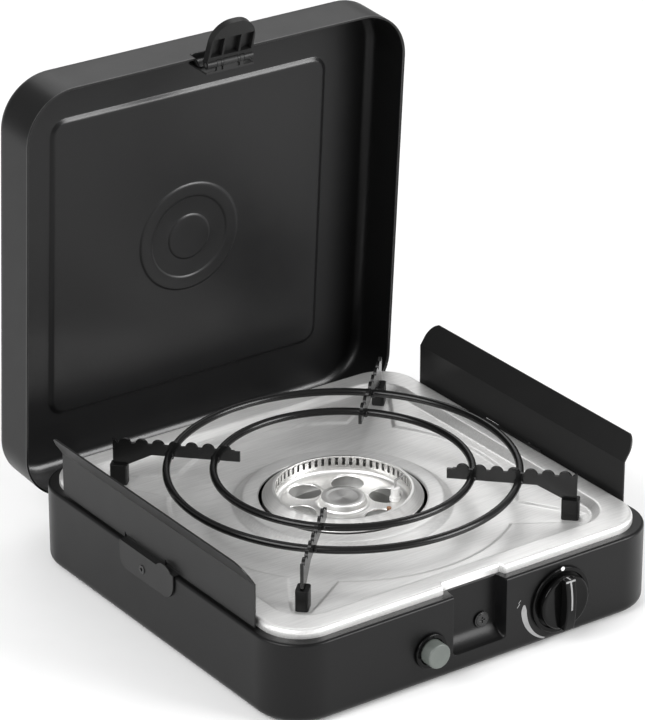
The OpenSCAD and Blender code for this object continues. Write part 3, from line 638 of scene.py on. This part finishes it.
def base_holes():
    """For the knob, the button, the gas inlet, the rivets, the hinge arms' slots and the vents underneath."""
    form = bmesh.new()
    wall, inside, rivet_z = HALF + 1, HALF - 3, RIM - RIVET_DROP
    add_cylinder(form, place(KNOB_X, -wall, KNOB_Z), place(KNOB_X, -inside, KNOB_Z), KNOB_HOLE)
    add_cylinder(form, place(BUTTON_X, -wall, BUTTON_Z), place(BUTTON_X, -inside, BUTTON_Z), BUTTON_HOLE)
    add_cylinder(form, place(inside, INLET_Y, KNOB_Z), place(wall, INLET_Y, KNOB_Z), INLET_HOLE)
    for side in (-1, 1):
        add_cylinder(form, place(side * inside, RIVET_Y, rivet_z), place(side * wall, RIVET_Y, rivet_z), RIVET_HOLE)
        add_box(form, (side * HINGE_X - 3, side * HINGE_X + 3), (HALF - 17, wall), (31.5, RIM + 1))
        for y in VENT_ROWS:
            add_box(form, (side * VENT_X - 13, side * VENT_X + 13), (y - 2, y + 2), (-1, 3))
    return mesh_of("base_holes", form)


def add_base():
    mesh = sheet_mesh("base_sheet", base_rows(WALL_TURNS), first_closed=True)
    piece = make_piece("base_sheet", mesh, "base", "black_coat", "base_pan")
    thicken(piece, BASE_SHEET)
    cut(piece, base_holes())


# ---- hob plate ----

FIELD_RISE = 1.2            # the field's height above the tray and the feet's pads
NOTCH_SIDE, NOTCH_PUSH = 24.4, 4.5


def pad_depth(x, y):
    """1 inside the four wedge-shaped pads that carry the pan support's feet, 0 outside."""
    turn = math.atan2(abs(y), abs(x)) - math.pi / 4
    reach, across = math.hypot(x, y) * math.cos(turn), abs(math.hypot(x, y) * math.sin(turn))
    side = mix(16, 10, (reach - 127) / 27) if reach < 154 else mix(10, 6.5, (reach - 154) / 14)
    return (1 - rise(across, side - 1.1, side + 1.1)) * (1 - rise(reach, 167, 171))


def plate_level(x, y):
    tray = 1 - rise(math.hypot(x, y), 120.5, 124.5)
    return RIM + FIELD_RISE * (1 - max(tray, pad_depth(x, y)))


def in_notch(x, y, z):
    """Steps the plate's front edge back at the latch pocket."""
    inset = y + PLATE_HALF
    if inset > 17 or abs(x) > 29:
        return x, y, z
    target = inset + NOTCH_PUSH if inset < 3 else mix(3 + NOTCH_PUSH, 17, (inset - 3) / 14)
    return x, y + (target - inset) * (1 - rise(abs(x), NOTCH_SIDE - 0.4, NOTCH_SIDE + 2)), z


def plate_rows(turns):
    border = RIM + PLATE_RISE
    field = RIM + FIELD_RISE
    rows = [square_row(turns, PLATE_HALF, PLATE_CORNER, z) for z in (RIM + 0.02, RIM + 1, border - 3.3)]
    rows += [square_row(turns, PLATE_HALF - 3 + 3 * math.cos(a), PLATE_CORNER - 3 + 3 * math.cos(a),
                        border - 3 + 3 * math.sin(a)) for a in arc_steps(6)]
    inner = ((149.4, 27, 0), (143, 27, 0), (137.6, 28, 0), (136.8, 27.9, -0.04), (136.2, 27.6, -0.25),
             (135.6, 27.2, -0.7), (131.8, 24, -4.6), (131.2, 23.5, -5.0), (130.5, 23, -5.24), (129.6, 22.4, -5.3))
    rows += [square_row(turns, half, r, border + drop) for half, r, drop in inner]
    last, circle = square_row(turns, 129, 22, field), circle_row(turns, 127.4, field)
    flat = [blended_row(last, circle, i / 22) for i in range(23)]
    flat += [circle_row(turns, r, field) for r in (126.4, 125.4, 124.6, 124, 123.3, 122.5, 121.7, 121, 120.4, 119.4)]
    rows += [[(x, y, plate_level(x, y)) for x, y, _ in row] for row in flat]
    dish = ((117, 0), (113, -0.1), (100, -0.6), (88, -1.1), (79.6, -1.45), (78.6, -1.48), (77.8, -1.3),
            (77.1, -0.8), (72.4, 3.0), (71.7, 3.5), (70.9, 3.86), (69.9, 4), (66, 4), (61, 4), (60.3, 3.93),
            (59.8, 3.7), (59.6, 3.3), (59.6, 2.4))
    rows += [circle_row(turns, r, RIM + z) for r, z in dish]
    return [[in_notch(*p) for p in row] for row in rows]


def add_plate():
    mesh = sheet_mesh("hob_sheet", plate_rows(PLATE_TURNS))
    piece = make_piece("hob_sheet", mesh, "base", "hob_steel", "hob_plate")
    thicken(piece, PLATE_SHEET)
    apply_modifiers(piece, 50)


# ---- lid ----

RECESS_DEPTH, RECESS_HEIGHT = 7.4, 8.4
HEM_RADIUS = 0.85


def in_recess(x, y, z):
    """Presses the recess for the latch into the lid's front wall."""
    if y > -HALF + 3 or z > 72 or abs(x) > 30:
        return x, y, z
    side = 1 - rise(abs(x), 18.4, 23.6)
    t = (LID_RIM + 8.6 - z) / RECESS_HEIGHT
    return x, y + RECESS_DEPTH * side * quarter(t) * rise(t, 0, 0.2), z


def lid_rows(turns):
    def square(half, z, r=None):
        return square_row(turns, half, LID_CORNER - (HALF - half) if r is None else r, z)

    heights = steps(LID_RIM, LID_RIM + 3, 0.5) + steps(LID_RIM + 3.8, LID_RIM + 9.4, 0.4)
    heights += [LID_RIM + 11, 80, 88, 94.1]
    rows = [square(HALF, z) for z in heights]
    rows += [square(HALF - 8 + 8 * math.cos(a), LID_TOP - 8 + 8 * math.sin(a)) for a in arc_steps(10)]
    rows += [square(half, LID_TOP, r) for half, r in ((151.5, 29.5), (140, 24), (124, 16), (118.4, 13))]
    panel = ((117.4, 12.4, -0.05), (116.9, 11.9, -0.2), (116.4, 11.5, -0.55), (115.0, 10.2, -1.5),
             (114.5, 9.7, -1.84), (114, 9.2, -1.97), (113.3, 8.8, -2), (110, 8, -2), (90, 8, -2), (60, 8, -2))
    rows += [square(half, LID_TOP + z, r) for half, r, z in panel]
    outer_ring = ((44, 0), (42.8, 0), (42.4, -0.05), (42.0, -0.2), (41.4, -0.6), (41.0, -0.75), (40.6, -0.8),
                  (39, -0.8), (35, -0.8), (33.4, -0.8), (33.0, -0.75), (32.6, -0.6), (32, -0.2), (31.6, -0.05),
                  (31.2, 0), (22, 0))
    middle = ((18.2, 0), (17.8, -0.05), (17.4, -0.2), (16.8, -0.6), (16.4, -0.75), (16, -0.8), (10, -0.8), (2, -0.8))
    rows += [circle_row(turns, r, LID_TOP - 2 + z) for r, z in outer_ring + middle]
    return [[in_recess(*p) for p in row] for row in rows]


def put_on_lid(x, y, z):
    return opened(place(x, y, z))


def add_lid_hem():
    """The rolled edge along the lid's rim, which steps in with the recess for the latch."""
    rows = []
    for i in range(16):
        a = 2 * math.pi * i / 16
        out, up = HEM_RADIUS * math.cos(a), HEM_RADIUS * math.sin(a)
        row = square_row(WALL_TURNS, HALF - 0.8 + out, LID_CORNER - 0.8 + out, LID_RIM + 0.92 + up)
        rows.append([in_recess(*p) for p in row])
    mesh = sheet_mesh("lid_hem", rows + rows[:1], put_on_lid)
    # the hem wears the lighter, glossier coat, which paints in the highlight line along the rim's edge
    piece = make_piece("lid_hem", mesh, "lid", "black_coat", material="hem_coat")
    shade(piece.data, 60)
    return piece


def add_lid():
    mesh = sheet_mesh("lid_sheet", lid_rows(WALL_TURNS), put_on_lid, last_closed=True)
    piece = make_piece("lid_sheet", mesh, "lid", "black_coat", "lid_shell")
    thicken(piece, LID_SHEET)
    bevel = piece.modifiers.new("rim", "BEVEL")
    bevel.width = 0.5 * MM
    bevel.segments = 3
    bevel.limit_method = "ANGLE"
    bevel.angle_limit = math.radians(62)
    apply_modifiers(piece, 50)
    return piece


# ---- burner ----

HOLE_TURNS = [math.radians(49 + 60 * i) for i in range(6)]
HOLES_AT = 33                                  # radius of the circle that the air holes lie on


def add_burner_floor():
    profile = [(48, 5), (47.9, 3.6), (47.5, 2.4), (46.7, 1.4), (45.4, 0.6), (43.8, 0.15), (42, 0), (30, 0), (20.4, 0),
               (19, 0.15), (18, 0.6), (17.3, 1.4), (16.9, 2.4), (16.0, 5.4), (15.7, 6), (15.2, 6.4), (14.5, 6.6),
               (12.2, 6.6), (11.6, 6.5), (11.1, 6.2), (10.6, 6.05), (10, 6), (6, 5.6), (2, 5.4), (0.5, 5.4)]
    mesh = lathe_mesh("burner_dish", [(r, FLOOR_Z + z) for r, z in profile])
    piece = make_piece("burner_dish", mesh, "base", "burner_metal", "burner_floor")
    thicken(piece, DISH_SHEET)
    flare = [(12.9, 3), (12.7, 0.5), (12.4, 0.02), (11.9, -0.22), (11.6, -0.6), (11.5, -1.1), (11.5, -6)]
    form = bmesh.new()
    for turn in HOLE_TURNS:
        x, y = HOLES_AT * math.cos(turn), HOLES_AT * math.sin(turn)
        rings = [[form.verts.new(place(x + r * math.cos(a), y + r * math.sin(a), FLOOR_Z + z))
                  for a in (2 * math.pi * i / 64 for i in range(64))] for r, z in flare]
        for one, two in zip(rings, rings[1:]):
            for i in range(64):
                form.faces.new((one[i], two[i], two[(i + 1) % 64], one[(i + 1) % 64]))
        form.faces.new(rings[0])
        form.faces.new(rings[-1][::-1])
    cut(piece, mesh_of("burner_holes", form))
    shade(piece.data, 40)


def add_air_bowl():
    """The plain bowl under the burner floor, seen through its holes."""
    profile = [(46.6, -1.5), (46.5, -8), (45.6, -10.4), (43.4, -11.7), (40, -12), (10, -12), (8, -11.6),
               (7, -10.5), (6.6, -8)]
    mesh = lathe_mesh("air_bowl", [(r, FLOOR_Z + z) for r, z in profile], closed=False, count=96)
    piece = make_piece("air_bowl", mesh, "base", "burner_metal", material="bowl_metal")
    thicken(piece, BOWL_SHEET)
    form = bmesh.new()
    for name, radius in (("electrode_ceramic", 3.5), ("thermocouple", 2.8)):
        low, high = low_mm(name), high_mm(name)
        x, y = (low[0] + high[0]) / 2, (low[1] + high[1]) / 2
        add_cylinder(form, place(x, y, FLOOR_Z - 16), place(x, y, FLOOR_Z - 8), radius)
    cut(piece, mesh_of("bowl_holes", form))


# ---- knob, button and marks ----

KNOB_RADIUS = 20
GRIP_REACH, GRIP_SIDE = 19.5, 4.35             # half the grip's length and width
MARK_STEPS = 40                                # steps along the arc beside the knob


def bar_front(up):
    """The crowned front of the knob's grip."""
    return -HALF - 14 + 2.6 * (abs(up) / GRIP_REACH) ** 2.2


def add_knob():
    """A round flange with a crowned grip bar across it."""
    back, flange = -HALF - 3.5, -HALF - 7.5

    def put(x, y, z):
        return place(KNOB_X + x, z, KNOB_Z + y)

    rim = [(3.1, back + 0.3), (17.4, back + 0.3), (18, back), (19.2, back), (19.8, back - 0.3),
           (KNOB_RADIUS, back - 0.9), (KNOB_RADIUS, flange + 1.3), (19.8, flange + 0.6), (19.2, flange + 0.15),
           (18.4, flange), (17.4, flange + 0.1), (12, flange + 0.5), (2, flange + 0.5)]
    piece = make_piece("knob_flange", turned_mesh("knob_flange", rim, put, 128), "knob_unit", "knob_black", "knob")
    shade(piece.data, 40)
    bar = bmesh.new()
    rows = []
    for i in range(25):
        up = mix(-GRIP_REACH, GRIP_REACH, i / 24)
        front = bar_front(up)
        side = GRIP_SIDE - 0.35 * (1 - (up / GRIP_REACH) ** 2)
        rows.append([bar.verts.new(put(x, up, z)) for x, z in
                     ((-side - 0.5, flange + 0.6), (-side, front), (side, front), (side + 0.5, flange + 0.6))])
    join_rings(bar, rows)
    grip = make_piece("knob_grip", mesh_of("knob_grip", bar), "knob_unit", "knob_black")
    round_edges(grip, 0.9, 4, 40)


def strip_mesh(name, path, width, thickness, put, widths=None):
    """A flat printed line along a path of flat points, a little thick. widths, where given, replaces width."""
    form = bmesh.new()
    rows = []
    for i, point in enumerate(path):
        before, after = path[max(0, i - 1)], path[min(len(path) - 1, i + 1)]
        along = Vector((after[0] - before[0], after[1] - before[1])).normalized()
        side = Vector((-along.y, along.x)) * (widths[i] if widths else width) / 2
        a, b = Vector(point) + side, Vector(point) - side
        rows.append([form.verts.new(put(a.x, a.y, 0)), form.verts.new(put(b.x, b.y, 0)),
                     form.verts.new(put(b.x, b.y, thickness)), form.verts.new(put(a.x, a.y, thickness))])
    join_rings(form, rows)
    return mesh_of(name, form)


def add_marks():
    def on_bar(x, up, lift):
        return place(KNOB_X + x, bar_front(up) + 0.05 - lift, KNOB_Z + up)

    def on_top(x, y, lift):
        return place(KNOB_X + x, y, KNOB_Z + 19.45 + lift)

    def on_wall(x, z, lift):
        z_in = max(0.0, 6 - z)                 # below this height the wall curves in to the underside
        return place(x, -HALF + (6 - math.sqrt(36 - z_in * z_in)) + 0.05 - lift, z)

    def on_bezel(x, y, out):
        return place(KNOB_X + 0.3 + x, -HALF - out, KNOB_Z + 23.9 + y)

    line = [(0, mix(-3.2, 18.7, i / 12)) for i in range(13)]
    tick = [(-4.0, 18.2), (0, 18.2), (4.0, 18.2)]
    top = [(0, -HALF - 11.2), (0, -HALF - 8), (0, -HALF - 6)]
    share = [i / MARK_STEPS for i in range(MARK_STEPS + 1)]
    sweep = [math.radians(mix(172, 246, t)) for t in share]
    reach = [mix(31.0, 29.4, t) for t in share]
    arc = [(KNOB_X + r * math.cos(a), KNOB_Z + r * math.sin(a)) for a, r in zip(sweep, reach)]
    widths = [4.6 * math.sqrt(min(1, (i + 0.4) / 5)) * (1 - 0.72 * rise(i, 4, MARK_STEPS))
              for i in range(MARK_STEPS + 1)]
    spark = [(34.6, 39.8), (32.9, 37.9), (33.6, 36.9), (31.6, 34.6)]
    for name, path, width, thickness, put, body in (
            ("pointer_line", line, 1.35, 0.2, on_bar, "knob_unit"),
            ("pointer_tick", tick, 1.1, 0.2, on_bar, "knob_unit"),
            ("pointer_top", top, 1.2, 0.22, on_top, "knob_unit"),
            ("turn_arc", arc, 0, 0.15, on_wall, "base"),
            ("spark_mark", spark, 0.55, 0.12, on_wall, "base")):
        mesh = strip_mesh(name, path, width, thickness, put, widths if name == "turn_arc" else None)
        piece = make_piece(name, mesh, body, "button_grey", material="print_grey")
        shade(piece.data, 40)
    dot = ((1.6, 2.2), (1.6, 2.5), (1.3, 2.7), (0.5, 2.75))
    make_piece("top_dot", turned_mesh("top_dot", dot, on_bezel, 32), "base", "ceramic", material="print_white")


def add_button():
    def put(x, y, z):
        return place(BUTTON_X + x, -HALF + z, BUTTON_Z + y)

    profile = [(4, 22), (4, 2.5), (8.6, 2.5), (9, 2.1), (9, -9.9), (8.85, -10.4), (8.45, -10.75), (7.9, -10.85),
               (7.2, -10.7), (4, -10.9), (0.4, -11)]
    mesh = turned_mesh("button_cap", profile, put, 96)
    piece = make_piece("button_cap", mesh, "button", "button_grey", "piezo_button")
    shade(piece.data, 40)


# ---- pan support ----

def add_weld_beads():
    """Small uneven beads where the arms cross the two rings."""
    form = bmesh.new()
    for n in range(4):
        turn = math.radians(45 + 90 * n)
        along = Vector((math.cos(turn), math.sin(turn), 0))
        across = Vector((-math.sin(turn), math.cos(turn), 0))
        for ring in (INNER_RING, OUTER_RING):
            for side in (-1, 1):
                for k in range(3):
                    bead = bmesh.ops.create_icosphere(form, subdivisions=3, radius=1.0)["verts"]
                    spot = place(0, 0, RING_Z + 0.4 * k - 0.6) + along * (ring + 1.5 * (k - 1)) * MM
                    spot = spot + across * side * 1.6 * MM
                    size = Vector((1.9, 1.8 + 0.2 * k, 2.7 - 0.35 * k)) * MM
                    for v in bead:
                        ripple = 1 + 0.10 * math.sin(7 * v.co.x + 3 * k) * math.sin(6 * v.co.z + side + ring)
                        v.co = spot + (along * v.co.x * size.x + across * v.co.y * size.y
                                       + Vector((0, 0, v.co.z * size.z))) * ripple
    piece = make_piece("weld_beads", mesh_of("weld_beads", form), "pan_support", "enamel")
    shade(piece.data, 60)


# ---- the CAD parts that only need softer edges ----

SOFT_EDGES = {
    "windshield_left": 0.45, "windshield_right": 0.45,
    "latch": 0.45, "latch_bracket": 0.35, "lid_arm_left": 0.5, "lid_arm_right": 0.5, "hinge_brackets": 0.35,
    "pan_arm_1": 0.4, "pan_arm_2": 0.4, "pan_arm_3": 0.4, "pan_arm_4": 0.4, "arm_feet": 0.9,
    "knob_bezel": 0.8, "button_bezel": 1.0, "burner_ring": 0.35, "rubber_feet": 0.8, "gas_inlet": 0.3,
    "plate_clips": 0.25, "injector_bracket": 0.3, "burner_bracket": 0.4, "valve_bracket": 0.3,
    "valve_body": 0.5, "electrode_ceramic": 0.4, "inlet_nut": 0.5, "piezo_body": 0.5,
}


LIP_X = (3.7, 3.22)                            # inwards from the base's side
LIP_Y = ((-28.25, -11.6), (22.6, 39.25))
LIP_Z = (5.3, 6.7)                             # above the rim
VALVE_TRAVEL, BUTTON_TRAVEL = 3.0, 5.5


def add_shield_lip(side):
    """The folded lip that closes a windshield's two notches above the bracket's barrels."""
    form = bmesh.new()
    out = 1 if side == "right" else -1
    x = sorted(out * (HALF - inset) for inset in LIP_X)
    for y in LIP_Y:
        add_box(form, x, y, (RIM + LIP_Z[0], RIM + LIP_Z[1]))
    make_piece("shield_lip_" + side, mesh_of("shield_lip_" + side, form), "shield_" + side, "shield_coat")


def add_soft_edges():
    for name, width in SOFT_EDGES.items():
        softened(name, width)
    for side in ("left", "right"):
        # the brackets get the lighter copy of the coat, a painted highlight on their flaps
        softened("shield_bracket_" + side, 0.4, material="bracket_coat")
        add_shield_lip(side)
    softened("recess_screw", 0.4, slot="latch_black", material="screw_black")
    softened("shield_rivets", 0.25, slot="latch_black", material="screw_black")


def add_springs():
    """The two return springs, copied from the frame as they stand; nothing here shortens them as the knob or the
    button goes in.
    """
    for name, joint, travel in (("valve_spring", "valve_push", VALVE_TRAVEL),
                                ("piezo_spring", "piezo_press", BUTTON_TRAVEL)):
        mesh = nodes[name].data.copy()
        piece = make_piece(name + "_coil", mesh, "base", "bare_steel", name)
        shade(mesh, 60)
        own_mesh(piece)


# ---- build ----

add_camera()
add_world()
add_lights()
add_floor()
paint_frame()
add_base()
add_plate()
light_lid(add_lid(), add_lid_hem())
add_burner_floor()
add_air_bowl()
add_knob()
add_marks()
add_button()
add_weld_beads()
add_soft_edges()
add_springs()
